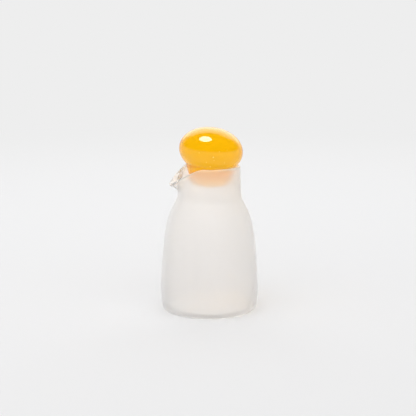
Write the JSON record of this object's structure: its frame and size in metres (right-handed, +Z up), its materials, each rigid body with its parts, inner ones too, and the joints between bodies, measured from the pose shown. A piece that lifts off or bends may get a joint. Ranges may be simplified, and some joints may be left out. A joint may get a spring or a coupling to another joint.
{
  "type": "glass carafe with ball stopper",
  "caption": "Empty clear blown-glass carafe with a low round shoulder, a wide neck with a pulled pouring lip, and a solid amber glass stopper with a flattened-ball head.",
  "frame": {"origin": "centre of the round base on the vessel's axis, at the surface it stands on", "axes": "+Z up along the vessel's axis, -X towards the pouring lip; both pieces are mirror images across the XZ plane"},
  "size_m": [0.1078, 0.1078, 0.2011],
  "materials": {
    "clear_glass": "thin colourless blown glass, faintly hazy",
    "amber_glass": "polished solid amber-orange glass with a few small seeds"
  },
  "bodies": {
    "root": {"vessel": "clear_glass", "stopper": "amber_glass"}
  },
  "joints": []
}
